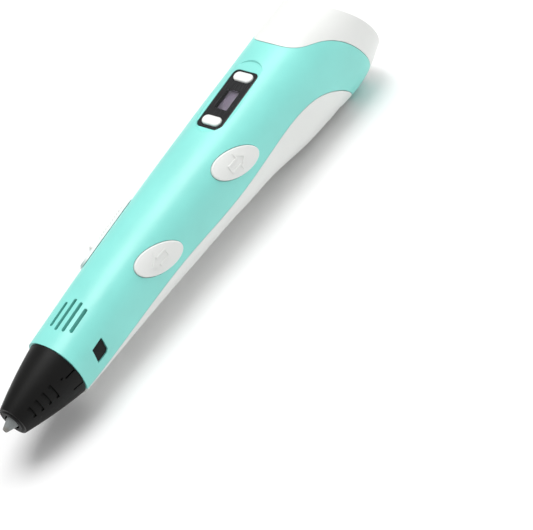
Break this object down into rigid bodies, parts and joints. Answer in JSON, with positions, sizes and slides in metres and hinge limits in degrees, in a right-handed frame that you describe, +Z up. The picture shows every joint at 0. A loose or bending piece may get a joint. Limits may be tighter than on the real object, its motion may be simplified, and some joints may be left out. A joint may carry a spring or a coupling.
{
  "type": "three d pen",
  "caption": "Hand-held filament pen: tapered casing with heated nozzle, display panel, feed keys, speed slider, keel cover and rear cap with filament and power inlets.",
  "frame": {"origin": "centre of the nozzle outlet, on the filament path", "axes": "+X backwards along the filament path, out of the rear of the pen; +Z up through the display panel; -Y the side with the two large feed keys"},
  "size_m": [0.185, 0.032, 0.0405],
  "materials": {
    "shell_teal": "satin moulded plastic, mint teal",
    "white_plastic": "satin moulded plastic, white",
    "black_matte": "matt moulded plastic, black",
    "black_gloss": "polished black plastic",
    "window_clear": "clear polished window",
    "display_grey": "switched-off display glass",
    "ceramic_pale": "unglazed ceramic",
    "collar_grey": "heat resistant plastic, dark grey",
    "brass": "machined brass",
    "steel": "bright steel",
    "nylon_pale": "unfilled nylon",
    "liner_white": "slippery fluoropolymer tube",
    "board_green": "glass fibre circuit board with solder mask",
    "chip_black": "moulded chip packages",
    "wire_red": "insulated wire"
  },
  "bodies": {
    "casing": {"main_shell": "shell_teal", "bottom_cover": "white_plastic", "rear_cap": "white_plastic", "nozzle_collar": "collar_grey", "nozzle_cover": "black_matte", "ceramic_nozzle": "ceramic_pale", "heater_block": "brass", "heater_cartridge": "steel", "thermistor": "steel", "heat_break": "steel", "hot_end_bracket": "nylon_pale", "bracket_screws": "steel", "cover_screws": "steel", "guide_tube": "liner_white", "entry_tube": "liner_white", "inlet_ferrule": "brass", "feed_frame": "nylon_pale", "shaft_bushes": "brass", "motor_can": "steel", "motor_end_cap": "nylon_pale", "motor_screws": "steel", "idler_pivot_pin": "steel", "fan_housing": "black_matte", "vent_screen": "black_matte", "main_board": "board_green", "board_screws": "steel", "board_chips": "chip_black", "display_module": "display_grey", "display_window": "window_clear", "display_bezel": "black_gloss", "temp_switches": "black_matte", "key_board": "board_green", "feed_switches": "black_matte", "slide_pot_body": "black_matte", "dc_jack": "black_matte", "dc_jack_pin": "steel", "heater_leads": "wire_red", "fan_leads": "wire_red", "motor_leads": "wire_red", "power_leads": "wire_red", "idler_spring": "steel"},
    "nozzle_catch": {"nozzle_latch": "black_matte"},
    "fan_rotor_body": {"fan_rotor": "black_matte"},
    "motor_rotor": {"motor_shaft": "steel", "worm": "brass"},
    "feed_shaft": {"drive_shaft": "steel", "drive_wheel": "steel", "worm_wheel": "nylon_pale"},
    "idler": {"idler_arm": "nylon_pale", "idler_axle": "steel"},
    "idler_wheel": {"idler_bearing": "steel"},
    "load_key": {"load_button": "white_plastic"},
    "unload_key": {"unload_button": "white_plastic"},
    "temp_up_key": {"temp_up_button": "white_plastic"},
    "temp_down_key": {"temp_down_button": "white_plastic"},
    "slider": {"speed_slider": "white_plastic", "slide_pot_lever": "black_matte"}
  },
  "joints": [
    {"name": "catch_flex", "type": "hinge", "parent": "casing", "child": "nozzle_catch", "pos_m": [0.0219, -0.008, 0.0017], "axis": [0, 0, 1], "range_deg": [0, 3], "stiffness_Nm_per_rad": 0.05},
    {"name": "fan_spin", "type": "hinge", "parent": "casing", "child": "fan_rotor_body", "pos_m": [0.0405, 0, 0.0051], "axis": [0, 0, 1], "continuous": true},
    {"name": "motor_spin", "type": "hinge", "parent": "casing", "child": "motor_rotor", "pos_m": [0.126, 0.0069, -0.00156], "axis": [1, 0, 0], "continuous": true},
    {"name": "feed_spin", "type": "hinge", "parent": "casing", "child": "feed_shaft", "pos_m": [0.126, 0, 0.0049], "axis": [0, 1, 0], "continuous": true},
    {"name": "idler_swing", "type": "hinge", "parent": "casing", "child": "idler", "pos_m": [0.119, 0, -0.0047], "axis": [0, 1, 0], "range_deg": [0, 2.5], "stiffness_Nm_per_rad": 0.3, "deforming": ["idler_spring"]},
    {"name": "idler_spin", "type": "hinge", "parent": "idler", "child": "idler_wheel", "pos_m": [0.126, 0, -0.0039], "axis": [0, 1, 0], "continuous": true},
    {"name": "load_press", "type": "slide", "parent": "casing", "child": "load_key", "axis": [0, 0.9397, -0.342], "range_m": [0, 0.0004], "stiffness_N_per_m": 600},
    {"name": "unload_press", "type": "slide", "parent": "casing", "child": "unload_key", "axis": [0, 0.9397, -0.342], "range_m": [0, 0.0004], "stiffness_N_per_m": 600},
    {"name": "temp_up_press", "type": "slide", "parent": "casing", "child": "temp_up_key", "axis": [0.1044, 0, -0.9945], "range_m": [0, 0.00045], "stiffness_N_per_m": 600},
    {"name": "temp_down_press", "type": "slide", "parent": "casing", "child": "temp_down_key", "axis": [0.1044, 0, -0.9945], "range_m": [0, 0.00045], "stiffness_N_per_m": 600},
    {"name": "speed_slide", "type": "slide", "parent": "casing", "child": "slider", "axis": [0.9957, 0.0356, 0.0853], "range_m": [-0.005, 0.005]}
  ],
  "couplings": [
    {"joint": "feed_spin", "follows": "motor_spin", "ratio": 0.071429},
    {"joint": "idler_spin", "follows": "motor_spin", "ratio": -0.095238}
  ]
}
